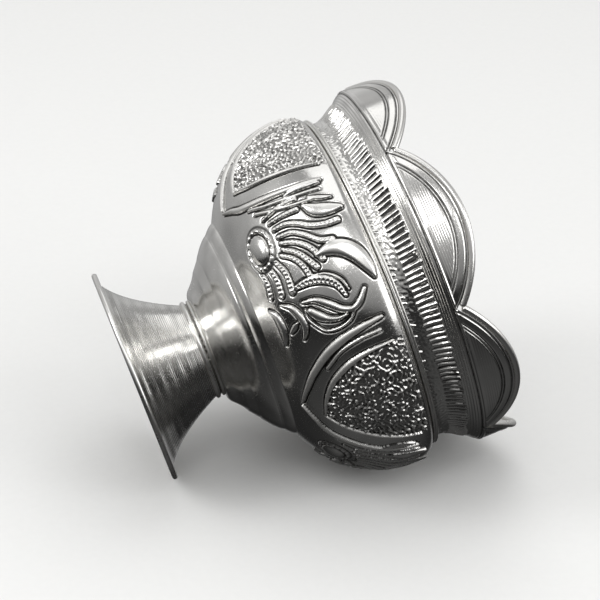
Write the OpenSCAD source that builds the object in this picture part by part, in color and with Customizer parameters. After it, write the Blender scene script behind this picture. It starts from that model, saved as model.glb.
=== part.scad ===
// Small footed silver cup with a chased bowl, a reeded collar and a mouth of seven petals.
// It stands on its foot: +Z is the axis, and the origin is the middle of the foot's resting face.

/* [Heights] */
// Height of the foot, up to the neck joint
foot_h = 12.6; // [10.5:0.1:15]
// Height of the plain stem, from the neck wires to the crease under the bowl
stem_h = 9; // [7.5:0.1:11]
// Height of the chased bowl, from the crease to the shoulder
bowl_h = 21.5; // [17.5:0.1:26]
// Height of the collar, from the shoulder to the base of the petals
collar_h = 6.8; // [5.6:0.1:8.2]

/* [Diameters] */
// Diameter of the foot over its rim wire
foot_d = 39.2; // [32.5:0.1:47]
// Diameter of the neck, where the foot meets the stem
neck_d = 17.4; // [14.5:0.1:21]
// Diameter of the crease where the stem meets the bowl
crease_d = 40.4; // [33.5:0.1:48.5]
// Largest diameter of the bowl
bowl_d = 65; // [60:0.1:78]
// Diameter of the shoulder, where the bowl meets the collar
shoulder_d = 60.4; // [50.5:0.1:63]
// Diameter of the mouth over the petal sheet
mouth_d = 67; // [62:0.1:80]

/* [Sheet and wire] */
// Thickness of the spun and raised silver sheet
wall = 0.8; // [0.6:0.05:1]
// Thickness of the bowl's floor
floor_t = 1; // [0.8:0.1:1.4]
// Height of the foot's rim wire
foot_wire_h = 1; // [0.8:0.05:1.3]
// Height of the lower neck wire
lower_wire_h = 0.85; // [0.6:0.05:1.1]
// Height of the solder seam between the neck wires
solder_h = 0.35; // [0.2:0.05:0.5]
// Height of the upper neck wire
upper_wire_h = 0.5; // [0.4:0.05:0.8]
// Height of the shoulder wire
shoulder_wire_h = 0.9; // [0.7:0.05:1.3]
// Diameter of the round wire along the petals
rim_wire_d = 1.25; // [0.9:0.05:1.5]

/* [Petals] */
// Number of petals round the mouth
petals = 7; // [5:1:10]
// Height of the band of sheet that runs on below the notches
petal_base_h = 1.9; // [0.7:0.05:2.5]
// Height of a petal's tip above the notches beside it
petal_rise = 5.9; // [4.5:0.1:7.1]

/* [Hidden] */
silver = "silver";
solder_grey = "gray";
$fn = 96;
curve_steps = 10;
// Room left between two pieces that are soldered edge to edge
solder_gap = 0.02;
// How far the wires stand out from the sheet behind them
wire_proud = 0.45;
shoulder_wire_proud = 0.8;
neck_r = neck_d / 2;
spigot_r = neck_r - 0.5;
foot_sheet_r = foot_d / 2 - foot_wire_h - 0.2;
neck_top_z = foot_h + lower_wire_h + solder_h + upper_wire_h;
stem_z = neck_top_z;
crease_z = stem_z + stem_h;
crease_r = crease_d / 2;
shoulder_z = crease_z + bowl_h;
shoulder_r = shoulder_d / 2;
bowl_r = bowl_d / 2;
petal_z = shoulder_z + collar_h;
mouth_r = mouth_d / 2;
petal_base_r = mouth_r - 1.4;
wire_r = rim_wire_d / 2;
// The petals' wire runs round the middle of the sheet's thickness
rim_r = mouth_r - wall / 2;
half_petal = 180 / petals;
half_chord = rim_r * sin(half_petal);
// Each petal's edge is an arc, seen from in front of the petal
arc_r = (half_chord * half_chord + petal_rise * petal_rise) / (2 * petal_rise);
edge_r = arc_r - wire_r - solder_gap;
arc_z = petal_z + petal_base_h - sqrt(edge_r * edge_r - half_chord * half_chord);
first_petal = 180;
notch_steps = 10;
// Depth of the short level stretch at the tip of a petal's sheet
tip_flat = 0.05;
wire_rings = 24;
wire_sides = 10;

// A smooth curve between two ends, pulled towards two handles
function bend(a, b, c, d) = [for (i = [0:curve_steps])
    let (t = i / curve_steps, u = 1 - t)
    u * u * u * a + 3 * u * u * t * b + 3 * u * t * t * c + t * t * t * d];

function tail(list) = [for (i = [1:len(list) - 1]) list[i]];

function flip(list) = [for (i = [len(list) - 1:-1:0]) list[i]];

// The sheet's thickness is square to it, and level at its two ends
function inward(path, i, t) = i == 0 || i == len(path) - 1
    ? [-t, 0]
    : let (d = path[i + 1] - path[i - 1]) t / norm(d) * [-d.y, d.x];

// The inside keeps between the heights of the outline's two ends
function inner(path, t) = [for (i = [0:len(path) - 1])
    let (p = path[i] + inward(path, i, t))
    if (p.y >= path[0].y && p.y <= path[len(path) - 1].y) p];

// Outlines are [radius, height] pairs, from the bottom up
foot_path = bend([foot_sheet_r, foot_wire_h * 0.4], [foot_sheet_r * 0.86, foot_wire_h * 1.3],
    [neck_r + foot_sheet_r * 0.19, foot_h * 0.4], [neck_r, foot_h]);

stem_path = concat(
    bend([spigot_r + 1.1, stem_z], [spigot_r + 2.7, stem_z + stem_h * 0.02],
        [spigot_r + 2.6, stem_z + stem_h * 0.16], [crease_r * 0.66, stem_z + stem_h * 0.3]),
    tail(bend([crease_r * 0.66, stem_z + stem_h * 0.3], [crease_r * 0.78, stem_z + stem_h * 0.52],
        [crease_r * 0.9, stem_z + stem_h * 0.72], [crease_r * 0.935, stem_z + stem_h * 0.84])),
    [[crease_r, crease_z]]);

belly_r = crease_r + (bowl_r - crease_r) * 0.62;
belly_z = crease_z + bowl_h * 0.25;
widest_z = crease_z + bowl_h * 0.82;
bowl_path = concat(
    bend([crease_r, crease_z], [crease_r * 1.12, crease_z + bowl_h * 0.06],
        [belly_r - (belly_r - crease_r) * 0.28, belly_z - bowl_h * 0.12], [belly_r, belly_z]),
    tail(bend([belly_r, belly_z], [belly_r + (bowl_r - belly_r) * 0.5, belly_z + bowl_h * 0.14],
        [bowl_r, widest_z - bowl_h * 0.24], [bowl_r, widest_z])),
    tail(bend([bowl_r, widest_z], [bowl_r, shoulder_z - bowl_h * 0.06],
        [bowl_r - (bowl_r - shoulder_r) * 0.2, shoulder_z - bowl_h * 0.015], [shoulder_r, shoulder_z])));

flute_r = shoulder_r + (petal_base_r - shoulder_r) * 0.42;
flute_z = shoulder_z + collar_h * 0.76;
collar_path = concat(
    bend([shoulder_r, shoulder_z], [shoulder_r - 0.6, shoulder_z + collar_h * 0.24],
        [shoulder_r - 0.3, shoulder_z + collar_h * 0.51], [flute_r, flute_z]),
    tail(bend([flute_r, flute_z], [flute_r + 0.4, shoulder_z + collar_h * 0.85],
        [petal_base_r - 0.4, shoulder_z + collar_h * 0.93], [petal_base_r, petal_z])));

upright_z = petal_z + 2.8;
mouth_path = concat(
    bend([petal_base_r, petal_z], [petal_base_r + 0.6, petal_z + 0.8], [mouth_r, petal_z + 1.4],
        [mouth_r, upright_z]),
    [[mouth_r, arc_z + edge_r]]);

module shell(path, t) {
    rotate_extrude() polygon(concat(path, flip(inner(path, t))));
}

// A wire ring with a half-round outside and a flat inside that fits round a sheet
module wire_ring(inside_r, outside_r, h, z) {
    translate([0, 0, z]) difference() {
        rotate_extrude() {
            square([outside_r - h / 2, h]);
            translate([outside_r - h / 2, h / 2]) circle(d = h);
        }
        translate([0, 0, -1]) cylinder(r = inside_r, h = h + 2);
    }
}

module foot() {
    color(silver) shell(foot_path, wall);
}

module foot_rim_wire() {
    color(silver) wire_ring(foot_sheet_r + solder_gap, foot_d / 2, foot_wire_h, 0);
}

module neck_wire_lower() {
    color(silver) wire_ring(spigot_r + solder_gap, neck_r + wire_proud, lower_wire_h, foot_h);
}

module neck_solder() {
    color(solder_grey) translate([0, 0, foot_h + lower_wire_h]) difference() {
        cylinder(r = neck_r - 0.05, h = solder_h);
        translate([0, 0, -1]) cylinder(r = spigot_r + solder_gap, h = solder_h + 2);
    }
}

module neck_wire_upper() {
    color(silver)
        wire_ring(spigot_r + solder_gap, neck_r + wire_proud - 0.1, upper_wire_h, foot_h + lower_wire_h + solder_h);
}

// The stem is closed at the bottom by its own floor, and its spigot stands on the foot
module stem_cup() {
    color(silver) {
        shell(stem_path, wall);
        translate([0, 0, foot_h]) difference() {
            cylinder(r = spigot_r, h = neck_top_z - foot_h + floor_t);
            translate([0, 0, -1]) cylinder(r = spigot_r - wall, h = neck_top_z - foot_h + 1);
        }
        translate([0, 0, neck_top_z]) cylinder(r = spigot_r + 0.5, h = floor_t);
    }
}

module bowl() {
    color(silver) shell(bowl_path, wall);
}

module shoulder_wire() {
    color(silver) wire_ring(shoulder_r + solder_gap, shoulder_r + shoulder_wire_proud,
        shoulder_wire_h, shoulder_z + solder_gap);
}

module collar() {
    color(silver) shell(collar_path, wall);
}

// Height of the sheet's edge, at an angle from the middle of its petal
function sheet_edge_z(a) = arc_z + sqrt(edge_r * edge_r - pow(mouth_r * sin(a), 2));

// What is cut away between two petals, seen from in front of the notch
notch_half = half_petal - asin(sqrt(2 * edge_r * tip_flat) / mouth_r);
notch_outline = concat(
    [for (i = [-notch_steps:notch_steps])
        let (b = notch_half * i / notch_steps)
        [mouth_r * sin(b), sheet_edge_z(half_petal - abs(b))]],
    [[mouth_r * sin(notch_half), arc_z + arc_r], [-mouth_r * sin(notch_half), arc_z + arc_r]]);

module mouth() {
    color(silver) difference() {
        shell(mouth_path, wall);
        for (k = [0:petals - 1])
            rotate([0, 0, first_petal + (2 * k + 1) * half_petal])
            translate([mouth_r * 0.7, 0, 0])
            rotate([90, 0, 90])
            linear_extrude(mouth_r * 0.3 + 1)
            polygon(notch_outline);
    }
}

// Height of the petals' wire, at an angle from the middle of its petal
function edge_z(a) = arc_z + sqrt(arc_r * arc_r - pow(rim_r * sin(a), 2));

// How steeply the wire climbs there
function edge_slope(a) = atan2(-rim_r * sin(a) * cos(a), edge_z(a) - arc_z);

// The wire's end rings stand upright, where it meets the next petal's wire
function wire_ring_at(i) =
    let (end = i == 0 || i == wire_rings,
        a = (half_petal - solder_gap) * (2 * i / wire_rings - 1),
        s = edge_slope(a),
        out = [cos(a), sin(a), 0],
        up = end ? [0, 0, 1 / cos(s)] : [sin(s) * sin(a), -sin(s) * cos(a), cos(s)],
        middle = [rim_r * cos(a), rim_r * sin(a), edge_z(a)])
    [for (j = [0:wire_sides - 1])
        middle + wire_r * (cos(360 * j / wire_sides) * out + sin(360 * j / wire_sides) * up)];

module petal_wire() {
    points = [for (i = [0:wire_rings]) each wire_ring_at(i)];
    sides = [for (i = [0:wire_rings - 1], j = [0:wire_sides - 1])
        let (n = (j + 1) % wire_sides)
        [i * wire_sides + j, i * wire_sides + n, (i + 1) * wire_sides + n, (i + 1) * wire_sides + j]];
    first_end = [for (j = [wire_sides - 1:-1:0]) j];
    last_end = [for (j = [0:wire_sides - 1]) wire_rings * wire_sides + j];
    polyhedron(points, concat([first_end], sides, [last_end]));
}

module rim_wire(k) {
    color(silver) rotate([0, 0, first_petal + (k - 1) * 2 * half_petal]) petal_wire();
}

foot();
foot_rim_wire();
neck_wire_lower();
neck_solder();
neck_wire_upper();
stem_cup();
bowl();
shoulder_wire();
collar();
mouth();
for (k = [1:petals]) rim_wire(k);
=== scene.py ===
import math

import bpy
import numpy as np
from mathutils import Matrix, Vector


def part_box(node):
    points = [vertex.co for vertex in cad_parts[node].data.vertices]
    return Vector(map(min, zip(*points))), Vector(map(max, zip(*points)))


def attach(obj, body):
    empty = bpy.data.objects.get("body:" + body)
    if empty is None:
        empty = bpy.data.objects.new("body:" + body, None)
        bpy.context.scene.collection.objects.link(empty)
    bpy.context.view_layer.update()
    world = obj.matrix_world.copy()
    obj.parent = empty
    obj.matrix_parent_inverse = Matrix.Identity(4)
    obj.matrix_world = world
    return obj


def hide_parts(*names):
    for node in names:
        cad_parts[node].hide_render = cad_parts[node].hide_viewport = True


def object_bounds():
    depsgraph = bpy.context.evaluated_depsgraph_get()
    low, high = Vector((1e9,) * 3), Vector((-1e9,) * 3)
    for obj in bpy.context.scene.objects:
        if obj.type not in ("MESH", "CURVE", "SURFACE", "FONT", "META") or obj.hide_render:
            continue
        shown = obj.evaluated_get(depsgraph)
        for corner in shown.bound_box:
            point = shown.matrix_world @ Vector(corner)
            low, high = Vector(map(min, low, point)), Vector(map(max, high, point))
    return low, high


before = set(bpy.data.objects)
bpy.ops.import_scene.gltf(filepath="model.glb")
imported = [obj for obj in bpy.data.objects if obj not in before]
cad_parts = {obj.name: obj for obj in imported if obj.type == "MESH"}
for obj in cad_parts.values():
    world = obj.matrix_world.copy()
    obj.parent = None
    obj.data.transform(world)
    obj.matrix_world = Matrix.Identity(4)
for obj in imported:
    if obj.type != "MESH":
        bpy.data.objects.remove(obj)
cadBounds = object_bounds()
mm = 0.001
turn = 2 * math.pi
upright = Vector((0, 0, 1))


# where a node starts and ends up the cup, and how far out it reaches
def span(node):
    low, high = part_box(node)
    return {"bottom": low.z, "top": high.z, "radius": max(high.x, high.y, -low.x, -low.y)}


cup = {node: span(node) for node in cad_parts}
petalCount = sum(node.startswith("rim_wire_") for node in cup)
facing = math.radians(188.9)  # which side of the cup looks out at the camera
sheetThickness = 0.8 * mm
shoulderSeat = cup["shoulder_wire"]["radius"] - 0.8 * mm  # radius of the sheet under the shoulder wire
print("frame loaded:", len(cup), "nodes")


# a curve from a to d that leaves towards b and comes in from c
def bend(a, b, c, d, steps=16):
    t = np.linspace(0, 1, steps + 1)[:, None]
    a, b, c, d = (np.array(p, float) for p in (a, b, c, d))
    return (1 - t) ** 3 * a + 3 * (1 - t) ** 2 * t * b + 3 * (1 - t) * t ** 2 * c + t ** 3 * d


def join(*stretches):
    rows = [stretches[0]] + [s[1:] if np.allclose(s[0], r[-1]) else s
                             for r, s in zip(stretches, stretches[1:])]
    return np.vstack(rows)


def runAlong(path):
    return np.r_[0, np.cumsum(np.linalg.norm(np.diff(path, axis=0), axis=1))]


def resample(path, count):
    lengths = runAlong(path)
    wanted = np.linspace(0, lengths[-1], count)
    return np.c_[np.interp(wanted, lengths, path[:, 0]), np.interp(wanted, lengths, path[:, 1])]


def normals(path):
    step = np.gradient(path, axis=0)
    step /= np.linalg.norm(step, axis=1)[:, None]
    return np.c_[step[:, 1], -step[:, 0]]  # outwards, for a path that climbs


def inside(path, thickness):
    inner = path - thickness * normals(path)
    inner[0], inner[-1] = path[0] - [thickness, 0], path[-1] - [thickness, 0]
    keep = (inner[:, 1] >= path[0, 1]) & (inner[:, 1] <= path[-1, 1])
    return inner[keep]


# climbs from 0 to 1 over a distance, and stays there
def fade(value, over=1.0):
    return np.clip(value / over, 0, 1)


# a soft ridge, 1 high in its middle
def hump(away, width):
    return np.exp(-(away / width) ** 2)


# a round back, 1 high in its middle and nothing from its edge on
def dome(away, power):
    return np.clip(1 - away ** 2, 0, 1) ** power


def addMesh(name, points, faces, sharpAngle=50):
    mesh = bpy.data.meshes.new(name)
    mesh.vertices.add(len(points))
    mesh.vertices.foreach_set("co", np.ascontiguousarray(points, np.float32).ravel())
    corners = np.concatenate([np.ravel(f) for f in faces]).astype(np.int32)
    sizes = np.concatenate([np.full(len(f), np.shape(f)[1]) for f in faces])
    mesh.loops.add(len(corners))
    mesh.loops.foreach_set("vertex_index", corners)
    mesh.polygons.add(len(sizes))
    mesh.polygons.foreach_set("loop_start", np.r_[0, np.cumsum(sizes)[:-1]].astype(np.int32))
    mesh.polygons.foreach_set("use_smooth", np.ones(len(sizes), bool))
    mesh.update(calc_edges=True)
    mesh.validate()
    mesh.set_sharp_from_angle(angle=math.radians(sharpAngle))
    piece = bpy.data.objects.new(name, mesh)
    bpy.context.scene.collection.objects.link(piece)
    return piece


# rows of points, each once round the cup; a closed skin joins its last row to its first
def skin(name, rows, closed=True, capped=False, tarnishAndShade=None, sharpAngle=50):
    count, across = rows.shape[:2]
    points = rows.reshape(-1, 3)
    i = np.arange(count if closed else count - 1)[:, None]
    j = np.arange(across)[None, :]
    after, beside = (i + 1) % count, (j + 1) % across
    quads = np.stack([i * across + j, i * across + beside, after * across + beside, after * across + j], -1)
    faces = [quads.reshape(-1, 4)]
    if capped:
        ends = [rows[0].mean(0), rows[-1].mean(0)]
        points = np.vstack([points, ends])
        k = np.arange(across)
        n = (k + 1) % across
        first = np.full(across, count * across)
        faces.append(np.stack([first, n, k], -1))
        faces.append(np.stack([first + 1, (count - 1) * across + k, (count - 1) * across + n], -1))
    piece = addMesh(name, points, faces, sharpAngle)
    if tarnishAndShade is not None:
        values = np.zeros(len(points), np.float32)
        values[:tarnishAndShade.size] = tarnishAndShade.ravel()
        piece.data.attributes.new("tarnishAndShade", "FLOAT", "POINT").data.foreach_set("value", values)
    return piece


def ringAngles(columns):
    return np.arange(columns) * turn / columns


def around(radius, height, angle):
    return np.stack(np.broadcast_arrays(radius * np.cos(angle), radius * np.sin(angle), height), -1)


def spin(path, columns):
    return around(path[:, :1], path[:, 1:], ringAngles(columns))


# moves rows of points out from the sheet by a field of heights
def emboss(path, columns, field):
    out = normals(path)
    return around(path[:, :1] + out[:, :1] * field, path[:, 1:] + out[:, 1:] * field, ringAngles(columns))


# smooth random waves that close up round the cup, about 1 high; size is a wave's length
def waves(path, columns, size, seed, band=None):
    rows = len(path)
    hiss = np.fft.fft2(np.random.default_rng(seed).standard_normal((rows * 2, columns)))
    down = np.fft.fftfreq(rows * 2, runAlong(path)[-1] / (rows - 1))[:, None]
    across = np.fft.fftfreq(columns, turn * path[:, 0].mean() / columns)
    pitch = np.hypot(down, across) * size
    keep = np.exp(-pitch ** 2 * 2) if band is None else hump(pitch - 1, band)
    field = np.real(np.fft.ifft2(hiss * keep))[:rows]
    return field / field.std()


def finish(piece, node, material):
    piece.data.materials.append(material)
    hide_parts(node)
    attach(piece, "root")


# the bowl laid out flat, so that each stroke of chasing can raise or cut it
def laySheet(path, columns):
    step = np.linalg.norm(np.diff(path, axis=0), axis=1)
    middle = (path[1:, 0] + path[:-1, 0]) / 2
    sheet = {layer: np.zeros((len(path), columns)) for layer in ("raised", "cut", "frost")}
    sheet["columns"], sheet["radius"], sheet["height"] = columns, path[:, 0], path[:, 1] - path[0, 1]
    sheet["climb"] = np.r_[0, np.cumsum(step / middle)]  # grows as the angle does, so shapes stay true
    return sheet


def throughPoints(points, steps=7):
    points = np.array(points, float)
    ends = np.vstack([2 * points[0] - points[1], points, 2 * points[-1] - points[-2]])
    out = []
    for a, b, c, d in zip(ends, ends[1:], ends[2:], ends[3:]):
        for t in np.arange(steps) / steps:
            out.append(0.5 * (2 * b + (c - a) * t + (2 * a - 5 * b + 4 * c - d) * t * t
                              + (3 * b - a - 3 * c + d) * t ** 3))
    return np.array(out + [points[-1]])


def onSheet(sheet, centre, stretch, points):
    angle = np.radians(centre + stretch * points[:, 0]) + facing
    return np.c_[angle, np.interp(points[:, 1] * mm, sheet["height"], sheet["climb"])]


# the part of the sheet near a line: row and column numbers, and where they lie
def patch(sheet, line, margin):
    low, high = line.min(0) - margin, line.max(0) + margin
    rows = np.where((sheet["climb"] >= low[1]) & (sheet["climb"] <= high[1]))[0][:, None]
    pitch = turn / sheet["columns"]
    columns = np.arange(math.floor(low[0] / pitch), math.ceil(high[0] / pitch) + 1)[None, :]
    return rows, columns % sheet["columns"], columns * pitch, sheet["climb"][rows]


# distance from the line's middle in metres, its half width there, how far along, and which side
def measure(sheet, line, widths, rows, x, y):
    best = np.full(np.broadcast(x, y).shape, 1e9)
    width, along, side = np.zeros_like(best), np.zeros_like(best), np.zeros_like(best)
    radius = sheet["radius"][rows]
    far = 0
    for (a, b), (wa, wb) in zip(zip(line, line[1:]), zip(widths, widths[1:])):
        d = b - a
        length = math.hypot(*d)
        if length == 0:
            continue
        t = np.clip(((x - a[0]) * d[0] + (y - a[1]) * d[1]) / length ** 2, 0, 1)
        offX, offY = x - a[0] - t * d[0], y - a[1] - t * d[1]
        gap = np.hypot(offX, offY) * radius
        w = wa + (wb - wa) * t
        near = gap - w < best
        best = np.where(near, gap - w, best)
        width, along = np.where(near, w, width), np.where(near, far + t * length, along)
        side = np.where(near, np.sign(d[0] * offY - d[1] * offX), side)
        far += length
    return best + width, width, along * radius, side


# what the chasing tools do in every stroke; beadPlace and beadWidth are shares of the stroke's half width
tools = {
    "finest": 0.04 * mm, "margin": 0.6 * mm, "roundness": 0.55, "mattEdge": 0.12 * mm,
    "outlineAway": 0.1 * mm, "outlineWidth": 0.16 * mm,
    "beadLength": 0.19 * mm, "beadDepth": 0.95, "beadPlace": 0.2, "beadWidth": 0.42,
}


def stroke(sheet, centre, stretch, points, widths, height, outline, beads=0.0, frost=0.0):
    smooth = throughPoints(np.c_[np.array(points, float), np.broadcast_to(widths, len(points))])
    line = onSheet(sheet, centre, stretch, smooth)
    half = np.maximum(smooth[:, 2] * mm, tools["finest"])
    rows, columns, x, y = patch(sheet, line, (half.max() + tools["margin"]) / sheet["radius"].min())
    gap, width, along, side = measure(sheet, line, half, rows, x, y)
    back = dome(gap / width, tools["roundness"]) * height * mm
    if beads:
        dots = hump(along % (beads * mm) - beads * mm / 2, tools["beadLength"])
        dots *= hump(side * gap - tools["beadPlace"] * width, tools["beadWidth"] * width)
        back *= 1 - tools["beadDepth"] * dots
    edge = outline * mm * hump(gap - width - tools["outlineAway"], tools["outlineWidth"])
    tooled = frost * fade(width - gap, tools["mattEdge"])
    for layer, mark in (("raised", back), ("cut", edge), ("frost", tooled)):
        sheet[layer][rows, columns] = np.maximum(sheet[layer][rows, columns], mark)


# a domed oval in a ring of beads, on ground cleared of other strokes
def raiseBoss(sheet, centre, stretch):
    middle = onSheet(sheet, centre, stretch, np.array([boss["at"]], float))[0]
    across, climb = math.radians(boss["across"]) * stretch, boss["climb"] * mm / boss["sheetRadius"]
    reach = np.array([[middle[0] - across, middle[1] - climb], [middle[0] + across, middle[1] + climb]])
    rows, columns, x, y = patch(sheet, reach, boss["margin"])
    away = np.hypot((x - middle[0]) / across, (y - middle[1]) / climb)
    angle = np.arctan2((y - middle[1]) / climb, (x - middle[0]) / across)
    ring = hump(away - boss["ringAt"], boss["ringWidth"]) * boss["ring"] * mm
    ring *= 1 - boss["beadDepth"] * fade(np.cos(angle * boss["beads"])) ** 2
    back = np.maximum(dome(away / boss["dome"], 0.5) * boss["height"] * mm, ring)
    for layer in ("raised", "cut", "frost"):
        sheet[layer][rows, columns] = np.where(away < boss["clear"], 0, sheet[layer][rows, columns])
    grooves = [boss["groove"] * mm * hump(away - at, boss["grooveWidth"]) for at in boss["grooves"]]
    for layer, mark in (("raised", back), ("cut", np.maximum(*grooves))):
        sheet[layer][rows, columns] = np.maximum(sheet[layer][rows, columns], mark)


def within(line, x, y):
    hit = np.zeros(np.broadcast(x, y).shape, bool)
    for a, b in zip(line, np.roll(line, -1, axis=0)):
        if a[1] != b[1]:
            crosses = ((a[1] > y) != (b[1] > y)) & (x < (b[0] - a[0]) * (y - a[1]) / (b[1] - a[1]) + a[0])
            hit ^= crosses
    return hit


# adds a shader node; i0, i1 and so on set an input by its number, other names set it by its label
def addNode(tree, kind, settings=None, **values):
    node = tree.nodes.new(kind)
    for key, value in (settings or {}).items():
        setattr(node, key, value)
    for key, value in values.items():
        numbered = key[0] == "i" and key[1:].isdigit()
        socket = node.inputs[int(key[1:]) if numbered else key.replace("_", " ")]
        if isinstance(value, bpy.types.NodeSocket):
            tree.links.new(value, socket)
        else:
            socket.default_value = value
    return node


def newGroup(name, inputs, outputs):
    group = bpy.data.node_groups.new(name, "ShaderNodeTree")
    for label, value in inputs.items():
        given = group.interface.new_socket(name=label, in_out="INPUT", socket_type="NodeSocketFloat")
        given.default_value = value
    for label in outputs:
        group.interface.new_socket(name=label, in_out="OUTPUT", socket_type="NodeSocketFloat")
    return group, group.nodes.new("NodeGroupInput").outputs, group.nodes.new("NodeGroupOutput").inputs


def calculate(tree, operation, a, b=0.0, c=0.0):
    return addNode(tree, "ShaderNodeMath", {"operation": operation}, i0=a, i1=b, i2=c).outputs[0]


def slope(tree, value, low, high):
    return addNode(tree, "ShaderNodeMapRange", {"clamp": True}, i0=value, i1=low, i2=high).outputs[0]


def mixColours(tree, share, first, second):
    return addNode(tree, "ShaderNodeMix", {"data_type": "RGBA"}, i0=share, i6=first, i7=second).outputs[2]


# noise fixed to the object; scale is a number, or three to stretch it
def noise(tree, scale, turned=(0, 0, 0), detail=2.0):
    place = tree.nodes.new("ShaderNodeTexCoord").outputs["Object"]
    stretch = scale if isinstance(scale, tuple) else (scale, scale, scale)
    mapped = addNode(tree, "ShaderNodeMapping", i0=place, Rotation=turned, Scale=stretch).outputs[0]
    return addNode(tree, "ShaderNodeTexNoise", Vector=mapped, Scale=1.0, Detail=detail).outputs["Fac"]


# rings left by the lathe: they run round the cup, a Spacing apart in metres
def makeTurnedLines():
    group, given, made = newGroup("Turned lines", {"Spacing": 0.0002, "Wander": 0.3}, ["Lines"])
    place = group.nodes.new("ShaderNodeTexCoord").outputs["Object"]
    x, y, z = addNode(group, "ShaderNodeSeparateXYZ", i0=place).outputs
    flat = addNode(group, "ShaderNodeCombineXYZ", i0=x, i1=y).outputs[0]
    radius = addNode(group, "ShaderNodeVectorMath", {"operation": "LENGTH"}, i0=flat).outputs["Value"]
    along = calculate(group, "ADD", z, calculate(group, "MULTIPLY", radius, 0.6))
    wobble = calculate(group, "MULTIPLY", noise(group, 90), given["Wander"])
    turns = calculate(group, "ADD", calculate(group, "DIVIDE", along, given["Spacing"]), wobble)
    lines = addNode(group, "ShaderNodeTexNoise", {"noise_dimensions": "1D"}, W=turns, Scale=1.0, Detail=3.0)
    group.links.new(lines.outputs["Fac"], made["Lines"])
    return group


# hair scratches from polishing cloths: each set has a direction and its own fineness
scratchSets = (((0.4, 0.9, 0.3), (90, 4200, 4200)), ((1.2, 0.2, 1.9), (70, 3600, 3600)),
               ((2.1, 1.4, 0.8), (120, 5200, 5200)))


def makeHairScratches():
    group, given, made = newGroup("Hair scratches", {"Amount": 1.0}, ["Scratches"])
    first, second, third = (slope(group, noise(group, scale, turned, 1.0), 0.66, 0.74)
                            for turned, scale in scratchSets)
    together = calculate(group, "MAXIMUM", calculate(group, "MAXIMUM", first, second), third)
    group.links.new(calculate(group, "MULTIPLY", together, given["Amount"]), made["Scratches"])
    return group


# dark oxide that stays in the chased hollows, painted shade round the collar's drops, a thin bloom over the
# rest, and Frost where a tool left it matt
def makeTarnishAndShade():
    group, given, made = newGroup("Tarnish and shade", {"In hollows": 1.0, "Bloom": 0.1}, ["Mask", "Frost"])
    hollow = addNode(group, "ShaderNodeAttribute", {"attribute_name": "tarnishAndShade"}).outputs["Fac"]
    broken = calculate(group, "MULTIPLY_ADD", noise(group, 900, detail=4.0), 0.9, 0.55)
    depth = calculate(group, "MULTIPLY", calculate(group, "MULTIPLY", hollow, broken), given["In hollows"])
    cloud = slope(group, noise(group, 120, detail=5.0), 0.45, 0.75)
    total = calculate(group, "ADD", depth, calculate(group, "MULTIPLY", cloud, given["Bloom"]))
    matt = calculate(group, "MULTIPLY", hollow, -1.0)
    for value, label in ((total, "Mask"), (matt, "Frost")):
        group.links.new(addNode(group, "ShaderNodeClamp", i0=value).outputs[0], made[label])
    return group


# greasy handling marks that change how sharply the silver reflects
def makeHandlingMarks():
    group, given, made = newGroup("Handling marks", {"Amount": 1.0}, ["Marks"])
    large = noise(group, 160, detail=6.0)
    small = noise(group, 1500, (0.5, 0.2, 0.9), 3.0)
    both = calculate(group, "MULTIPLY_ADD", small, 0.35, calculate(group, "MULTIPLY", large, 0.65))
    group.links.new(calculate(group, "MULTIPLY", both, given["Amount"]), made["Marks"])
    return group


turnedLines, hairScratches = makeTurnedLines(), makeHairScratches()
tarnishAndShade, handlingMarks = makeTarnishAndShade(), makeHandlingMarks()


def makeSilver(name, look):
    material = bpy.data.materials.new(name)
    material.use_nodes = True
    tree = material.node_tree
    shader = tree.nodes["Principled BSDF"]
    shader.inputs["Metallic"].default_value = 1.0

    def effect(group, **values):
        return addNode(tree, "ShaderNodeGroup", {"node_tree": group}, **values).outputs

    lines = effect(turnedLines, Spacing=look["lineSpacing"], Wander=look["lineWander"])[0]
    scratches = effect(hairScratches, Amount=look["scratches"])[0]
    mask, frost = effect(tarnishAndShade, In_hollows=look["oxide"], Bloom=look["bloom"])[:2]
    marks = effect(handlingMarks, Amount=1.0)[0]
    pits = noise(tree, look["pitScale"], detail=3.0)

    colour = mixColours(tree, mask, mixColours(tree, marks, look["silver"], look["worn"]), look["dark"])
    tree.links.new(colour, shader.inputs["Base Color"])
    rough = look["rough"]
    for value, amount in ((marks, look["roughSpread"]), (scratches, look["scratchRough"]),
                          (mask, look["darkRough"]), (frost, look["mattRough"])):
        rough = calculate(tree, "MULTIPLY_ADD", value, amount, rough)
    tree.links.new(rough, shader.inputs["Roughness"])
    below = {}
    for height, depth, cutIn in ((lines, look["lineDepth"], False), (pits, look["pitDepth"], False),
                                 (scratches, look["scratchDepth"], True)):
        relief = addNode(tree, "ShaderNodeBump", {"invert": cutIn}, Height=height, Distance=depth,
                         Strength=1.0, **below)
        below = {"Normal": relief.outputs[0]}
    tree.links.new(below["Normal"], shader.inputs["Normal"])
    return material


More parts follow.
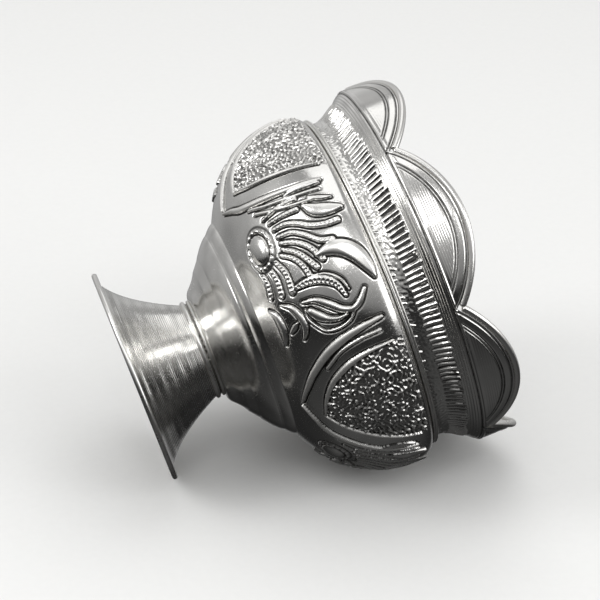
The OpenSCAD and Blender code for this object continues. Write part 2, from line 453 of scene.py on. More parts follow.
plainLook = {
    "silver": (0.90, 0.89, 0.87, 1), "worn": (0.80, 0.79, 0.76, 1), "dark": (0.035, 0.033, 0.03, 1),
    "rough": 0.05, "roughSpread": 0.16, "scratchRough": 0.12, "darkRough": 0.35, "mattRough": 0.36,
    "oxide": 1.0, "bloom": 0.10, "lineSpacing": 0.00016, "lineWander": 0.6, "lineDepth": 0.0000035,
    "pitScale": 2600, "pitDepth": 0.000003, "scratches": 1.0, "scratchDepth": 0.000003,
}
silvers = {
    "polishedSilver": {**plainLook, "lineDepth": 0.000006},
    "chasedSilver": {**plainLook, "lineDepth": 0.0, "pitDepth": 0.000006, "rough": 0.08, "bloom": 0.14},
    "petalSilver": {**plainLook, "lineDepth": 0.000008, "lineSpacing": 0.00024},
    "wireSilver": {**plainLook, "lineDepth": 0.0, "rough": 0.2},
    "solderSilver": {**plainLook, "silver": (0.42, 0.41, 0.39, 1), "worn": (0.2, 0.19, 0.18, 1), "rough": 0.3,
                     "pitScale": 5200, "pitDepth": 0.00004, "bloom": 0.6, "lineDepth": 0.0},
}
silver = {name: makeSilver(name, look) for name, look in silvers.items()}
print("silvers made")


# foot: spun trumpet, its turned lines strongest over the rim and under the neck
foot = {
    "columns": 512, "rows": 420, "insideRows": 60, "overNeck": 0.05 * mm,
    "dents": 0.014 * mm, "dentSize": 9 * mm, "oxide": 0.75, "insideOxide": 0.18,
    "ringDepth": 0.013 * mm, "ringPitch": 0.36 * mm, "everywhere": 0.4,
    "bands": ((0.16, 0.1, 1.0), (0.9, 0.06, 0.7)),  # middle and width up the side, strength
    "drift": (2.2, 900), "uneven": (0.6, 2900),  # amount, rate
}


def makeFoot():
    size, neck = cup["foot"], cup["neck_solder"]["radius"] + foot["overNeck"]
    rim, top, columns = size["radius"], size["top"], foot["columns"]
    outer = bend([rim, size["bottom"]], [rim * 0.86, cup["foot_rim_wire"]["top"] * 1.3],
                 [neck + rim * 0.19, top * 0.4], [neck, top], 60)
    outer = resample(outer, foot["rows"])
    inner = resample(inside(outer, sheetThickness), foot["insideRows"])[::-1]
    length = np.linspace(0, 1, foot["rows"])
    run = length * runAlong(outer)[-1]
    drift, uneven = (amount * np.sin(run * rate) for amount, rate in (foot["drift"], foot["uneven"]))
    strength = sum(share * hump(length - middle, width) for middle, width, share in foot["bands"])
    rings = np.sin(turn * run / foot["ringPitch"] + drift) * foot["ringDepth"]
    rings = (rings * (strength + foot["everywhere"]) * (1 + uneven) * fade(length * 30))[:, None]
    dents = waves(outer, columns, foot["dentSize"], 3) * foot["dents"] * np.sin(length * math.pi)[:, None]
    rows = np.concatenate([emboss(outer, columns, rings + dents), spin(inner, columns)])
    hollows = np.repeat(fade(-rings, foot["ringDepth"]) * foot["oxide"], columns, axis=1)
    hollows = np.vstack([hollows, np.full((len(inner), columns), foot["insideOxide"])])
    return skin("footShell", rows, tarnishAndShade=hollows)


finish(makeFoot(), "foot", silver["polishedSilver"])


# half-round wires at the foot's rim, the neck and the shoulder: the inner radius is a share of the outer
wires = {
    "foot_rim_wire": {"name": "footRimWire", "inner": 0.94, "beads": 1},
    "neck_wire_lower": {"name": "neckWireLower", "inner": 0.898, "beads": 1},
    "neck_wire_upper": {"name": "neckWireUpper", "inner": 0.908, "beads": 1},
    "shoulder_wire": {"name": "shoulderWire", "inner": 0.974, "beads": 2},
}
wireFinish = {"columns": 720, "wobble": 0.0006, "wobbleSize": 5 * mm}


def makeWire(node, look):
    size, columns = cup[node], wireFinish["columns"]
    hole, each = size["radius"] * look["inner"], (size["top"] - size["bottom"]) / look["beads"]
    outline = [[hole, size["bottom"]]]
    for bead in range(look["beads"]):
        for angle in np.radians(np.linspace(-90, 90, 17))[min(bead, 1):]:
            outline.append([size["radius"] - each / 2 * (1 - math.cos(angle)),
                            size["bottom"] + each * (bead + 0.5) + each / 2 * math.sin(angle)])
    outline.append([hole, size["top"]])
    rows = spin(np.array(outline), columns)
    ring = np.array([[hole, 0], [hole, wireFinish["wobbleSize"]]])
    wobble = 1 + wireFinish["wobble"] * waves(ring, columns, wireFinish["wobbleSize"], 11)[0]
    rows[1:-1, :, :2] *= np.minimum(wobble, 1)[None, :, None]
    return skin(look["name"], rows)


for node, look in wires.items():
    finish(makeWire(node, look), node, silver["wireSilver"])


# the pitted solder seam between the neck wires
solder = {"columns": 720, "rows": 8, "depth": 0.42 * mm, "pitSize": 0.5 * mm, "pits": 0.07 * mm,
          "sunk": 0.15 * mm}


def makeSolder():
    size, columns = cup["neck_solder"], solder["columns"]
    face = size["radius"]
    hole = face - solder["depth"]
    side = resample(np.array([[face, size["bottom"]], [face, size["top"]]]), solder["rows"])
    pits = np.clip(waves(side, columns, solder["pitSize"], 21), -2, 2) * solder["pits"] - solder["sunk"]
    ends = [spin(np.array([[hole, size[end]]]), columns) for end in ("bottom", "top")]
    rows = np.concatenate([ends[0], emboss(side, columns, np.minimum(pits, 0)), ends[1]])
    return skin("neckSolder", rows)


finish(makeSolder(), "neck_solder", silver["solderSilver"])


# stem: plain flaring cup with soft creases, closed by its own floor, on a spigot that drops into the neck
stem = {
    "columns": 640, "rows": 190, "insideRows": 50, "dents": 0.022 * mm, "dentSize": 8 * mm, "floor": 1.0 * mm,
    "spigotIn": 0.45 * mm, "centre": 0.3 * mm,  # the floor's middle is a small cap of this radius
    "swells": ((0.46, 0.78, 0.16 * mm), (0.82, 0.985, 0.12 * mm)),  # from, to, height of each soft band
}


def stemOutline(spigot, bottom, tall):
    crease = cup["stem_cup"]["radius"]
    waist = [crease * 0.66, bottom + tall * 0.3]
    lower = bend([spigot + 1.1 * mm, bottom], [spigot + 2.7 * mm, bottom + tall * 0.02],
                 [spigot + 2.6 * mm, bottom + tall * 0.16], waist)
    upper = bend(waist, [crease * 0.78, bottom + tall * 0.52],
                 [crease * 0.9, bottom + tall * 0.72], [crease * 0.935, bottom + tall * 0.84])
    return join(lower, upper, np.array([[crease, bottom + tall]]))


def makeStem():
    size, bottom, columns = cup["stem_cup"], cup["neck_wire_upper"]["top"], stem["columns"]
    spigot, tall = cup["neck_solder"]["radius"] - stem["spigotIn"], size["top"] - bottom
    outer = resample(stemOutline(spigot, bottom, tall), stem["rows"])
    height = ((outer[:, 1] - bottom) / tall)[:, None]
    dents = waves(outer, columns, stem["dentSize"], 5) * stem["dents"] * np.sin(fade(height) * math.pi)
    for start, end, high in stem["swells"]:
        across = fade(height - start, end - start)
        dents = dents + high * (4 * across * (1 - across)) ** 0.7
    floor, hollow = bottom + stem["floor"], spigot - sheetThickness
    inner = inside(outer, sheetThickness)
    inner = resample(inner[inner[:, 1] > floor][::-1], stem["insideRows"])
    over = np.array([[spigot * 0.98, floor], [spigot * 0.5, floor], [stem["centre"], floor]])
    under = np.array([[stem["centre"], bottom], [hollow, bottom], [hollow, size["bottom"]],
                      [spigot, size["bottom"]], [spigot, bottom]])
    rows = np.concatenate([spin(under, columns), emboss(outer, columns, dents), spin(inner, columns),
                           spin(over, columns)])
    return skin("stemCup", rows, closed=False, capped=True)


finish(makeStem(), "stem_cup", silver["polishedSilver"])
print("foot, wires and stem made")


# bowl: chased with four pointed shields and, between them, four fans of leaves round an oval boss
bowl = {
    "columns": 1440, "rows": 216, "insideRows": 44, "dents": 0.03 * mm, "dentSize": 7 * mm, "calm": 1.2 * mm,
    "covers": 0.12 * mm, "darkCut": 0.2 * mm, "proud": 0.45 * mm, "insideOxide": 0.1,
    "shields": (41, 128.3, 215.7, 303),  # degrees round from the side that faces the camera
    "fans": ((-8, 1.0), (84.7, 0.89), (172, 0.89), (259.3, 0.89)),  # degrees, and how wide each is stretched
}
# points are [degrees from the middle of the motif, millimetres above the crease]; widths are in millimetres
boss = {
    "at": (-18, 4.2), "across": 8.6, "climb": 3.1, "sheetRadius": 27 * mm, "margin": 0.05, "clear": 1.1,
    "dome": 0.68, "height": 0.65, "ring": 0.3, "ringAt": 0.86, "ringWidth": 0.1,
    "beads": 15, "beadDepth": 0.6, "grooves": (0.72, 1.04), "groove": 0.16, "grooveWidth": 0.045,
}
fingerLook = {"height": 0.42, "outline": 0.26, "beads": 0.74, "frost": 0.45}
leafLook = {"outline": 0.26, "frost": 0.35}
fingers = [  # beaded fingers that fan out from the boss
    ([(-11, 3.1), (-6, 3.4), (-0.2, 3.0)], 0.44), ([(-10.5, 4.4), (-5, 4.9), (1.0, 4.6)], 0.56),
    ([(-10.2, 5.8), (-5, 6.6), (1.6, 6.4)], 0.56), ([(-10.9, 7.1), (-8, 8.6), (-4.2, 9.6), (0.6, 10.1)], 0.5),
    ([(-12.4, 7.7), (-8.8, 9.6), (-2.2, 11.5)], 0.5),
    ([(-14.6, 7.8), (-12.4, 9.8), (-8.6, 11.7), (-3.6, 12.9)], 0.5),
    ([(-17.0, 7.8), (-15.8, 9.9), (-13, 11.7), (-9.2, 13.6), (-7.8, 15.6)], 0.48),
    ([(-20.2, 7.7), (-19.4, 9.6), (-17, 11.6), (-14.6, 13.2), (-13.0, 15.4), (-12.7, 17.6)], 0.52),
    ([(-23.2, 7.4), (-22.6, 9.6), (-21.6, 12.2)], 0.42), ([(-26.0, 6.8), (-26.2, 9.6), (-25.2, 12.6)], 0.42),
]
leaves = [  # points, half widths along them, height, beads
    ([(7, 19.6), (3.6, 19.3), (-0.6, 18.4), (-3.6, 17.0), (-5.2, 15.4), (-5.5, 14.0), (-5.2, 12.3)],
     [0.3, 1.0, 1.45, 1.5, 1.35, 1.0, 0.4], 0.62, 0),
    ([(9, 14.1), (5, 13.4), (2.2, 11.6), (0.9, 9.4), (1.0, 7.2)], [0.3, 0.6, 0.75, 0.7, 0.4], 0.5, 0.7),
    ([(7.8, 14.9), (4.2, 14.3), (1.0, 12.4), (-0.5, 9.8)], [0.12, 0.26, 0.28, 0.16], 0.3, 0),
    ([(6.2, 7.3), (7.2, 9.3), (9.9, 11.1), (12.5, 12.7), (13.4, 14.4), (12.2, 15.8), (9.1, 17.3)],
     [0.22, 0.5, 0.68, 0.62, 0.5, 0.5, 0.3], 0.46, 0),
    ([(9.9, 8.0), (12.1, 8.9), (13.9, 10.2), (14.7, 11.7), (14.4, 13.2)],
     [0.68, 0.85, 0.6, 0.42, 0.18], 0.55, 0),
    ([(8.6, 7.3), (11.4, 7.1), (14.6, 7.9), (17.2, 9.1), (17.6, 11.1), (16.4, 13.2), (13.9, 14.6)],
     [0.16, 0.26, 0.28, 0.26, 0.26, 0.26, 0.18], 0.34, 0),
    ([(4.0, 4.0), (6.4, 5.3), (9.5, 6.0), (12.8, 6.3), (15.8, 6.0), (18, 5.4)],
     [0.15, 0.5, 0.66, 0.64, 0.45, 0.2], 0.46, 0),
    ([(12, 5.3), (13.2, 4.6), (14.6, 3.9)], [0.2, 0.5, 0.25], 0.35, 0),
    ([(3.8, 2.1), (7, 2.7), (11.4, 2.9), (15.6, 2.8), (19, 2.5)], [0.1, 0.6, 0.82, 0.6, 0.1], 0.42, 0),
    ([(-16.2, 19.0), (-17.0, 16.9), (-18.5, 14.9), (-21.2, 13.5)], [0.45, 1.1, 1.15, 0.45], 0.52, 0),
    ([(-20.4, 18.2), (-21.6, 16.4), (-23.4, 14.7)], [0.2, 0.45, 0.2], 0.32, 0),
    ([(-26.6, 17.4), (-27.6, 15.6), (-28.2, 13.4), (-28.0, 11.4)], [0.2, 0.6, 0.55, 0.25], 0.36, 0),
]
shield = {
    "edges": [[(-22.5, 18.6), (-21.6, 14), (-19, 10.3), (-14.2, 7.4), (-7, 5.5), (1, 4.6)],
              [(1, 4.6), (6, 7), (10, 10.5), (12.8, 14), (15.4, 18.8)]],
    "edgeWidths": ([0.14, 0.4, 0.55, 0.5, 0.35, 0.16], [0.16, 0.3, 0.42, 0.36, 0.16]),
    "edgeLook": {"height": 0.42, "outline": 0.22, "frost": 1.0},
    "bands": [[(-30.4, 18.2), (-29.6, 14.8), (-27.8, 11.2), (-24.4, 7.9), (-18, 4.9), (-10, 3.0), (-3, 2.0)],
              [(-1, 1.9), (5, 3.0), (11, 4.5), (15.5, 7.6), (19.4, 12.2), (21.6, 17.8)]],
    "bandWidths": ([0.3, 0.55, 0.72, 0.75, 0.62, 0.45, 0.2], [0.2, 0.45, 0.6, 0.6, 0.5, 0.25]),
    "bandLook": {"height": 0.5, "outline": 0.24, "frost": 1.0},
    "lines": [[(-26.8, 17.2), (-26.2, 13.6), (-24.0, 10.0), (-19.4, 7.2)],
              [(24.4, 17), (22.6, 12.4), (19.2, 8.2), (15, 5.4)],
              [(27, 16), (25.6, 12.4), (22.6, 8.8), (18.6, 6)]],
    "lineLook": {"widths": 0.3, "height": 0.26, "outline": 0.16, "frost": 0.8},
    "top": 20.2, "depth": 0.26, "ground": 0.08, "bare": 0.05 * mm,
    "grain": 1.55 * mm, "grainWidth": 0.40, "breaks": 0.95 * mm, "breakUp": (1.4, 1.7),
}


def bowlOutline():
    size, crease = cup["bowl"], cup["stem_cup"]["radius"]
    bottom, tall, wide = size["bottom"], size["top"] - size["bottom"], size["radius"]
    belly = crease + (wide - crease) * 0.62
    return join(
        bend([crease, bottom], [crease * 1.12, bottom + tall * 0.06],
             [belly - (belly - crease) * 0.28, bottom + tall * 0.13], [belly, bottom + tall * 0.25], 60),
        bend([belly, bottom + tall * 0.25], [belly + (wide - belly) * 0.5, bottom + tall * 0.39],
             [wide, bottom + tall * 0.58], [wide, bottom + tall * 0.82], 80),
        bend([wide, bottom + tall * 0.82], [wide, bottom + tall * 0.94],
             [wide - (wide - shoulderSeat) * 0.2, bottom + tall * 0.985], [shoulderSeat, bottom + tall], 40))


def chaseFan(sheet, centre, stretch):
    for points, width in fingers:
        widths = width * np.linspace(0.6, 1.1, len(points)) ** 0.7
        stroke(sheet, centre, stretch, points, widths, **fingerLook)
    for points, widths, height, beads in leaves:
        stroke(sheet, centre, stretch, points, widths, height=height, beads=beads, **leafLook)
    raiseBoss(sheet, centre, stretch)


def chaseShield(sheet, centre, grain, breaks):
    for band, widths in zip(shield["bands"], shield["bandWidths"]):
        stroke(sheet, centre, 1, band, widths, **shield["bandLook"])
    for line in shield["lines"]:
        stroke(sheet, centre, 1, line, **shield["lineLook"])
    for edge, widths in zip(shield["edges"], shield["edgeWidths"]):
        stroke(sheet, centre, 1, edge, widths, **shield["edgeLook"])
    left, right = (throughPoints(e) for e in shield["edges"])
    corners = [[right[-1][0] + 1, shield["top"]], [left[0][0], shield["top"]]]
    line = onSheet(sheet, centre, 1, np.vstack([left, right[1:], corners]))
    rows, columns, x, y = patch(sheet, line, 0)
    field = within(line, x, y) & (sheet["raised"][rows, columns] < shield["bare"])
    # worm marks follow the grain's zero line, broken into short lengths
    least, swing = shield["breakUp"]
    worms = hump(grain[rows, columns], shield["grainWidth"]) * fade(least + swing * breaks[rows, columns])
    for layer, mark in (("raised", worms * shield["depth"] * mm),
                        ("cut", (1 - worms) * shield["ground"] * mm), ("frost", worms)):
        sheet[layer][rows, columns] = np.where(field, mark, sheet[layer][rows, columns])


def makeBowl():
    columns = bowl["columns"]
    outer = resample(bowlOutline(), bowl["rows"])
    sheet = laySheet(outer, columns)
    grain = waves(outer, columns, shield["grain"], 7, band=0.3)
    breaks = waves(outer, columns, shield["breaks"], 8, band=0.4)
    for centre, stretch in bowl["fans"]:
        chaseFan(sheet, centre, stretch)
    for centre in bowl["shields"]:
        chaseShield(sheet, centre, grain, breaks)
    height, raised, frost = sheet["height"], sheet["raised"], sheet["frost"]
    calm = fade(np.minimum(height, height[-1] - height), bowl["calm"])[:, None]
    cut = sheet["cut"] * (1 - fade(raised, bowl["covers"]))
    dents = waves(outer, columns, bowl["dentSize"], 9) * bowl["dents"]
    limit = cup["bowl"]["radius"] + bowl["proud"] - outer[:, 0]
    field = np.minimum((raised - cut + dents) * calm, limit[:, None])
    # oxide lies in the cuts and beside whatever stands higher; below nothing is tooled matt
    nearby = sum(np.roll(raised, shift, (0, 1)) for shift in ((0, 3), (0, -3), (3, 0), (-3, 0))) / 4
    hollows = fade(fade(nearby - raised, bowl["covers"]) * 0.6 + cut / bowl["darkCut"]) * (1 - frost) - frost
    inner = resample(inside(outer, sheetThickness), bowl["insideRows"])[::-1]
    rows = np.concatenate([emboss(outer, columns, field), spin(inner, columns)])
    hollows = np.vstack([hollows * calm, np.full((len(inner), columns), bowl["insideOxide"])])
    return skin("chasedBowl", rows, tarnishAndShade=hollows, sharpAngle=80)


finish(makeBowl(), "bowl", silver["chasedSilver"])
print("bowl chased")


# collar: a row of punched drops, a hammered band and close hand-cut flutes, all measured up from the shoulder
collar = {
    "flutes": 187, "perFlute": 9, "rows": 92, "insideRows": 20, "low": 3.35 * mm, "high": 5.7 * mm,
    "width": 0.33 * mm, "depth": 0.26 * mm, "lean": 0.12, "between": 0.12 * mm, "betweenReach": 0.25 * mm,
    "drops": (0.75 * mm, 1.5 * mm), "dropWidth": 0.2 * mm, "dropDepth": 0.1 * mm, "dropLean": 0.35,
    "dropShadow": (1.1 * mm, 0.6 * mm), "ridges": (6.25 * mm, 6.65 * mm),
    "ridgeWidth": 0.11 * mm, "ridgeHeight": 0.1 * mm,
    "band": (2.3 * mm, 1.7 * mm), "hammer": 0.9 * mm, "hammerDepth": 0.022 * mm,  # band's middle and reach
    # oxide sets how dark both the oxide between the flutes and the painted shadow round the drops are
    "dents": 0.016 * mm, "calm": 0.2 * mm, "oxide": 0.8, "darkBetween": 0.1 * mm, "insideOxide": 0.1,
    "hand": {"shift": 0.05, "low": 0.12 * mm, "high": 0.14 * mm, "lean": 0.04, "swell": 0.12,
             "drop": 0.16 * mm, "dropLean": 0.2, "dropDepth": 0.6},  # how much each cut differs from the next
}


def collarOutline(bottom, tall, top):
    throat = shoulderSeat + (top - shoulderSeat) * 0.42
    return join(bend([shoulderSeat, bottom], [shoulderSeat - 0.6 * mm, bottom + tall * 0.24],
                     [shoulderSeat - 0.3 * mm, bottom + tall * 0.51], [throat, bottom + tall * 0.76], 40),
                bend([throat, bottom + tall * 0.76], [throat + 0.4 * mm, bottom + tall * 0.85],
                     [top - 0.4 * mm, bottom + tall * 0.93], [top, bottom + tall], 24))


def makeCollar():
    size, count, uneven = cup["collar"], collar["flutes"], collar["hand"]
    bottom, tall = size["bottom"], cup["mouth"]["bottom"] - size["bottom"]
    columns = count * collar["perFlute"]
    outer = resample(collarOutline(bottom, tall, size["radius"]), collar["rows"])
    height, radius = outer[:, 1:] - bottom, outer[:, :1]
    turned = np.arange(columns) * count / columns
    cut = np.floor(turned).astype(int) % count
    # four things about each cut vary by hand: its place, its start, its end and its slant
    place, start, end, slant = np.random.default_rng(31).normal(0, 1, (4, count))[:, cut]
    shift = (turned - np.floor(turned) - 0.5 + uneven["shift"] * place) * turn / count * radius

    low, high = collar["low"] + uneven["low"] * start, collar["high"] + uneven["high"] * end
    reach, share = height - np.clip(height, low, high), (height - low) / (high - low)
    leaning = shift + (collar["lean"] + uneven["lean"] * slant) * (height - collar["low"])
    gap = np.hypot(leaning, reach * 0.8) / (collar["width"] * (0.8 + 0.25 * share))
    swell = np.clip(0.45 + 0.75 * share, 0.3, 1) * (1 + uneven["swell"] * slant)
    flutes = dome(gap, 0.6) * collar["depth"] * swell
    between = fade(1 - np.abs(reach) / collar["betweenReach"]) * fade(gap - 0.9) * collar["between"]

    dropLow, dropHigh = (at + uneven["drop"] * slant for at in collar["drops"])
    leaning = shift - (collar["dropLean"] + uneven["dropLean"] * place) * (height - dropLow)
    dropGap = np.hypot(leaning, height - np.clip(height, dropLow, dropHigh)) / collar["dropWidth"]
    drops = dome(dropGap, 0.6) * collar["dropDepth"] * np.clip(0.7 + uneven["dropDepth"] * start, 0.1, 1.5)
    ridges = sum(hump(height - at, collar["ridgeWidth"]) for at in collar["ridges"]) * collar["ridgeHeight"]

    middle, across = collar["band"]
    dents = (waves(outer, columns, 6 * mm, 13) + waves(outer, columns, 2.2 * mm, 14) * 0.5) * collar["dents"]
    hammered = fade(1 - np.abs(height - middle) / across) * collar["hammerDepth"]
    dents = dents + waves(outer, columns, collar["hammer"], 15, band=0.4) * hammered
    calm = fade(np.minimum(height, height[-1] - height), collar["calm"])
    field = (flutes - between + drops + ridges + dents) * calm

    # painted shade: the ground round the punched drops is darkened in a band at their height, in the same
    # mask as the oxide between the flutes
    middle, across = collar["dropShadow"]
    shadow = fade(dropGap - 1) * fade(1 - np.abs(height - middle) / across)
    hollows = np.maximum(fade(between, collar["darkBetween"]), shadow) * collar["oxide"]
    inner = resample(inside(outer, sheetThickness), collar["insideRows"])[::-1]
    rows = np.concatenate([emboss(outer, columns, field), spin(inner, columns)])
    hollows = np.vstack([hollows, np.full((len(inner), columns), collar["insideOxide"])])
    return skin("flutedCollar", rows, tarnishAndShade=hollows, sharpAngle=80)


finish(makeCollar(), "collar", silver["chasedSilver"])
print("collar fluted")


# mouth: one sheet cut into petals, with turned ridges at its base and lines along each petal's edge
mouth = {
    "perPetal": 168, "rows": 84, "insideRows": 40, "notchAbove": 1.9 * mm, "rise": 5.9 * mm,
    "wire": 0.625 * mm, "wireGap": 0.02 * mm, "overWire": 0.4 * mm,
    "ridges": (0.2 * mm, 0.6 * mm, 1.0 * mm), "ridgeWidth": 0.12 * mm, "ridgeHeight": 0.11 * mm,
    "baseRidge": 1.75 * mm, "baseWidth": 0.2 * mm, "baseHeight": 0.2 * mm,
    "darkAt": 1.36 * mm, "darkWidth": 0.12 * mm, "darkDepth": 0.08 * mm, "insideOxide": 0.12,
    "edgeLines": (0.34 * mm, 1.7 * mm, 2.15 * mm), "lineWidth": 0.13 * mm, "lineDepth": 0.13 * mm,
    "band": (0.45 * mm, 1.6 * mm), "bandSlope": 0.15 * mm, "bandHeight": 0.06 * mm, "linesFade": 0.25 * mm,
    "face": (2.3 * mm, 2.1 * mm), "faceFade": 0.3 * mm, "turning": 0.012 * mm, "turningPitch": 0.4 * mm,
    "insideLip": (0.4 * mm, 0.16 * mm, 0.12 * mm),  # from the edge, width, height
}
halfPetal = math.pi / petalCount
wireCircle = cup["rim_wire_1"]["radius"] - mouth["wire"]
halfChord = wireCircle * math.sin(halfPetal)
wireArc = (halfChord ** 2 + mouth["rise"] ** 2) / (2 * mouth["rise"])
sheetArc = wireArc - mouth["wire"] - mouth["wireGap"]
arcHeight = cup["mouth"]["bottom"] + mouth["notchAbove"] - math.sqrt(sheetArc ** 2 - halfChord ** 2)


def mouthOutline(base, bottom):
    wide = max(cup["mouth"]["radius"], wireCircle + mouth["overWire"])
    flare = bend([base, bottom], [base + 0.6 * mm, bottom + 0.8 * mm], [wide, bottom + 1.4 * mm],
                 [wide, bottom + 2.8 * mm], 40)
    return resample(join(flare, np.array([[wide, arcHeight + sheetArc]])), 200)


# heights of the ridges, lines and turning on the petals' outside, and how dark each place is
def petalRelief(above, fromEdge):
    ridges = sum(hump(above - at, mouth["ridgeWidth"]) for at in mouth["ridges"]) * mouth["ridgeHeight"]
    ridges = ridges + np.exp(-((above - mouth["baseRidge"]) / mouth["baseWidth"]) ** 4) * mouth["baseHeight"]
    dark = hump(above - mouth["darkAt"], mouth["darkWidth"])
    # the groove beside the wire runs into the notch, the lines inside it stop at the base ridge
    overBase = fade(above - mouth["notchAbove"], mouth["linesFade"])
    groove, *scored = (hump(fromEdge - at, mouth["lineWidth"]) for at in mouth["edgeLines"])
    lines = groove + sum(scored) * overBase
    near, far = mouth["band"]
    band = fade(fromEdge - near, mouth["bandSlope"]) * fade(far - fromEdge, mouth["bandSlope"]) * overBase
    inward, upward = mouth["face"]
    face = fade(fromEdge - inward, mouth["faceFade"]) * fade(above - upward, mouth["faceFade"])
    turning = np.sin(turn * above / mouth["turningPitch"]) * mouth["turning"] * face
    cuts = lines * mouth["lineDepth"] + dark * mouth["darkDepth"]
    return ridges - cuts + band * mouth["bandHeight"] + turning, fade(lines + dark)


def makeMouth():
    bottom, columns = cup["mouth"]["bottom"], petalCount * mouth["perPetal"]
    outline = mouthOutline(cup["collar"]["radius"], bottom)
    angle = ringAngles(columns)
    across = wireCircle * np.sin((angle - math.pi + halfPetal) % (2 * halfPetal) - halfPetal)
    edge = arcHeight + np.sqrt(sheetArc ** 2 - across ** 2)

    share = np.linspace(0, 1, mouth["rows"])[:, None]
    height = bottom + share * (edge - bottom)
    out = normals(outline)
    radius, outwards, upwards = (np.interp(height, outline[:, 1], values)
                                 for values in (outline[:, 0], out[:, 0], out[:, 1]))
    fromEdge = sheetArc - np.hypot(across, height - arcHeight)
    field, hollows = petalRelief(height - bottom, fromEdge)
    calm = fade(share * 12)
    field = np.minimum(field * calm * fade((1 - share) * 10), cup["rim_wire_1"]["radius"] - radius)
    outer = around(radius + outwards * field, height + upwards * field, angle)
    hidden = np.full((mouth["insideRows"], columns), mouth["insideOxide"])
    hollows = np.vstack([hollows * calm, hidden])

    share = np.linspace(1, 0, mouth["insideRows"])[:, None]
    height = bottom + share * (edge - bottom)
    lining = inside(outline, sheetThickness)
    radius = np.interp(height, lining[:, 1], lining[:, 0])
    fromEdge = sheetArc - np.hypot(across, height - arcHeight)
    at, width, lip = mouth["insideLip"]
    radius = radius + hump(fromEdge - at, width) * lip * fade(share * 8) * fade((1 - share) * 8)
    return skin("petalMouth", np.concatenate([outer, around(radius, height, angle)]), tarnishAndShade=hollows)


finish(makeMouth(), "mouth", silver["petalSilver"])


# rim wires: a round wire bent along each petal, its ends butted at the notches
rimWire = {"rings": 120, "sides": 24, "gap": 0.05 * mm, "round": 0.35 * mm, "dents": 0.012,
           "dentPitch": 1.7 * mm}


def makeRimWire(number):
    middle = math.pi + (number - 1) * 2 * halfPetal
    ends = halfPetal - rimWire["gap"] / wireCircle
    angle = ends * np.sin(np.linspace(-math.pi / 2, math.pi / 2, rimWire["rings"]) * 0.999)
    height = arcHeight + np.sqrt(wireArc ** 2 - (wireCircle * np.sin(angle)) ** 2)
    line = around(wireCircle, height, angle + middle)
    ahead = np.gradient(line, axis=0)
    ahead /= np.linalg.norm(ahead, axis=1)[:, None]
    up = np.cross(around(1, 0, angle + middle), ahead)
    up /= np.linalg.norm(up, axis=1)[:, None]
    out = np.cross(ahead, up)
    run = runAlong(line)
    toEnd = np.clip(np.minimum(run, run[-1] - run) / rimWire["round"], 0.02, 1)
    dents = 1 - rimWire["dents"] * (0.5 + 0.5 * np.sin(run / rimWire["dentPitch"] + number * 2.1))
    radius = (mouth["wire"] * np.sqrt(1 - (1 - toEnd) ** 2) * dents)[:, None, None]
    turned = -ringAngles(rimWire["sides"])[None, :, None]
    rows = line[:, None, :] + radius * (np.cos(turned) * out[:, None, :] + np.sin(turned) * up[:, None, :])
    rows[..., 2] = np.minimum(rows[..., 2], cup[f"rim_wire_{number}"]["top"])
    return skin(f"rimWire{number}", rows, closed=False, capped=True)


for number in range(1, petalCount + 1):
    finish(makeRimWire(number), f"rim_wire_{number}", silver["wireSilver"])
print("mouth and rim wires made")


# camera: level with the foot, aimed up at the bowl and rolled, so that the cup seems to lie on its side
camera = {"distance": 0.3738, "lens": 126.0, "sensor": 36, "nearest": 0.01, "roll": math.radians(21.97),
          "aimHeight": 0.5401, "aimDown": -1.6 * mm, "sink": 0.1 * mm}
toCamera = Vector((math.cos(facing), math.sin(facing), 0))
aimHeight = cadBounds[1].z * camera["aimHeight"]
middleOfCup = Vector((0, 0, aimHeight)) + upright.cross(toCamera) * camera["aimDown"]
cameraPlace = toCamera * camera["distance"] - Vector((0, 0, camera["sink"]))


def cameraAxes():
    ahead = (middleOfCup - cameraPlace).normalized()
    axis = (upright - ahead * ahead.z).normalized()
    beside = ahead.cross(axis)
    cosine, sine = math.cos(camera["roll"]), math.sin(camera["roll"])
    return axis * cosine + beside * sine, axis * sine - beside * cosine, -ahead


pictureRight, pictureUp, pictureNear = cameraAxes()


def makeCamera():
    lens = bpy.data.cameras.new("camera")
    lens.lens, lens.sensor_width, lens.clip_start = camera["lens"], camera["sensor"], camera["nearest"]
    stand = bpy.data.objects.new("camera", lens)
    bpy.context.scene.collection.objects.link(stand)
    axes = Matrix((pictureRight, pictureUp, pictureNear)).transposed().to_4x4()
    stand.matrix_world = Matrix.Translation(cameraPlace) @ axes
    bpy.context.scene.camera = stand


makeCamera()


# stage: a pale sheet that touches the foot's rim and the bowl's side, and a floor under the foot
stage = {"colour": (0.70, 0.70, 0.69, 1), "darker": 0.96, "rough": 0.9,
         "lean": 17.7, "side": 130.7, "size": 3.0, "gap": 0.02 * mm}


def makeStageMaterial():
    material = bpy.data.materials.new("stagePaper")
    material.use_nodes = True
    tree = material.node_tree
    shader, output = tree.nodes["Principled BSDF"], tree.nodes["Material Output"]
    darker = tuple(stage["darker"] * c for c in stage["colour"][:3]) + (1,)
    tone = mixColours(tree, noise(tree, 700, detail=5.0), stage["colour"], darker)
    tree.links.new(tone, shader.inputs["Base Color"])
    shader.inputs["Roughness"].default_value = stage["rough"]
    clear = tree.nodes.new("ShaderNodeBsdfTransparent").outputs[0]
    behind = tree.nodes.new("ShaderNodeNewGeometry").outputs["Backfacing"]
    mixed = addNode(tree, "ShaderNodeMixShader", i0=behind, i1=shader.outputs[0], i2=clear).outputs[0]
    tree.links.new(mixed, output.inputs["Surface"])
    return material


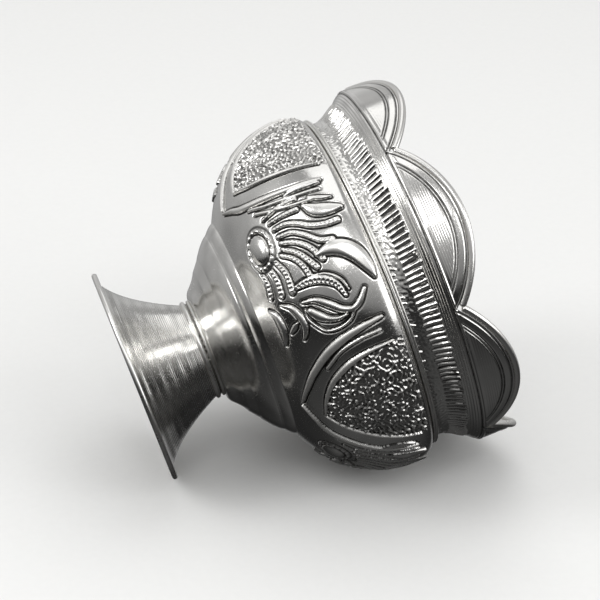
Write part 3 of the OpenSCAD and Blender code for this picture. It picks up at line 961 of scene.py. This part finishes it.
def addStage(name, corners, material):
    mesh = bpy.data.meshes.new(name)
    mesh.from_pydata([tuple(c) for c in corners], [], [(0, 1, 2, 3)])
    mesh.materials.append(material)
    sheet = bpy.data.objects.new(name, mesh)
    bpy.context.scene.collection.objects.link(sheet)
    sheet.visible_glossy = False
    sheet.visible_shadow = False
    sheet.visible_diffuse = False


def makeStage():
    paper = makeStageMaterial()
    lean, side = math.radians(stage["lean"]), math.radians(stage["side"])
    flat = Vector((math.cos(side), math.sin(side), 0))
    normal = upright * math.sin(lean) + flat * math.cos(lean)
    rim = cup["foot_rim_wire"]
    touch = -flat * rim["radius"] + Vector((0, 0, rim["top"] / 2))
    across = normal.cross(upright).normalized()
    along = normal.cross(across)
    half, under = stage["size"] / 2, -stage["gap"]  # the floor lies just under the foot
    square = ((-1, -1), (1, -1), (1, 1), (-1, 1))
    corners = [touch + across * a * half + along * b * half for a, b in square]
    if (corners[1] - corners[0]).cross(corners[2] - corners[1]).dot(normal) < 0:
        corners.reverse()
    addStage("leaningSheet", corners, paper)
    addStage("floor", [(a * half, b * half, under) for a, b in square], paper)


makeStage()


# studio: soft boxes placed by [right, up, near] of the picture, in metres from the cup
softBoxes = {
    "leftBox": {"place": (-0.42, 0.26, 0.26), "size": (0.22, 0.34), "glow": 4.2},
    "rightBox": {"place": (0.50, 0.12, 0.22), "size": (0.26, 0.56), "glow": 2.2},
    "collarBox": {"place": (0.26, 0.22, 0.44), "size": (0.10, 0.26), "glow": 3.4},
    "frontBox": {"place": (-0.06, 0.24, 0.50), "size": (0.16, 0.20), "glow": 3.2},
    "overheadBox": {"place": (0.0, 0.50, 0.05), "size": (0.60, 0.35), "glow": 0.9},
}
room = {
    "paper": (0.62, 0.62, 0.61, 1), "fill": 0.85, "mottle": (1.1, 0.45, 2.6),  # swing, least, scale
    # how bright the silver sees the room, from under the picture to over it
    "tones": ((0.0, 0.07), (0.20, 0.025), (0.36, 0.016), (0.41, 0.20), (0.58, 0.36), (0.78, 0.62),
              (0.92, 0.36), (1.0, 0.26)),
}


def makeLights():
    for name, box in softBoxes.items():
        light = bpy.data.lights.new(name, "AREA")
        light.shape = "RECTANGLE"
        light.size, light.size_y = box["size"]
        light.energy = box["glow"] * math.pi * light.size * light.size_y
        stand = bpy.data.objects.new(name, light)
        right, up, near = box["place"]
        stand.location = middleOfCup + pictureRight * right + pictureUp * up + pictureNear * near
        stand.rotation_euler = (middleOfCup - stand.location).to_track_quat("-Z", "Y").to_euler()
        stand.visible_camera = False
        bpy.context.scene.collection.objects.link(stand)


# the room is seen pale, lights the floor evenly, and shows dark in the silver
def makeWorld():
    world = bpy.data.worlds.new("studio")
    bpy.context.scene.world = world
    world.use_nodes = True
    tree = world.node_tree
    seen, output = tree.nodes["Background"], tree.nodes["World Output"]
    seen.inputs["Color"].default_value = room["paper"]
    look = tree.nodes.new("ShaderNodeTexCoord").outputs["Generated"]
    rise = addNode(tree, "ShaderNodeVectorMath", {"operation": "DOT_PRODUCT"}, i0=look, i1=tuple(pictureUp))
    ramp = addNode(tree, "ShaderNodeValToRGB", i0=slope(tree, rise.outputs["Value"], -1.0, 1.0))
    while len(ramp.color_ramp.elements) < len(room["tones"]):
        ramp.color_ramp.elements.new(0.5)
    for element, (place, tone) in zip(ramp.color_ramp.elements, room["tones"]):
        element.position, element.color = place, (tone, tone, tone, 1)
    swing, least, scale = room["mottle"]
    cloud = addNode(tree, "ShaderNodeTexNoise", Vector=look, Scale=scale, Detail=3.0).outputs[0]
    uneven = calculate(tree, "MULTIPLY_ADD", cloud, swing, least)
    mirrored = addNode(tree, "ShaderNodeBackground", Color=ramp.outputs[0], Strength=uneven).outputs[0]
    even = addNode(tree, "ShaderNodeBackground", Color=(1, 1, 1, 1), Strength=room["fill"]).outputs[0]
    rays = tree.nodes.new("ShaderNodeLightPath").outputs
    background = mirrored
    for ray, other in (("Is Diffuse Ray", even), ("Is Camera Ray", seen.outputs[0])):
        background = addNode(tree, "ShaderNodeMixShader", i0=rays[ray], i1=background, i2=other).outputs[0]
    tree.links.new(background, output.inputs["Surface"])


makeLights()
makeWorld()
bpy.context.scene.view_settings.view_transform = "Standard"
print("stage, studio and camera set")
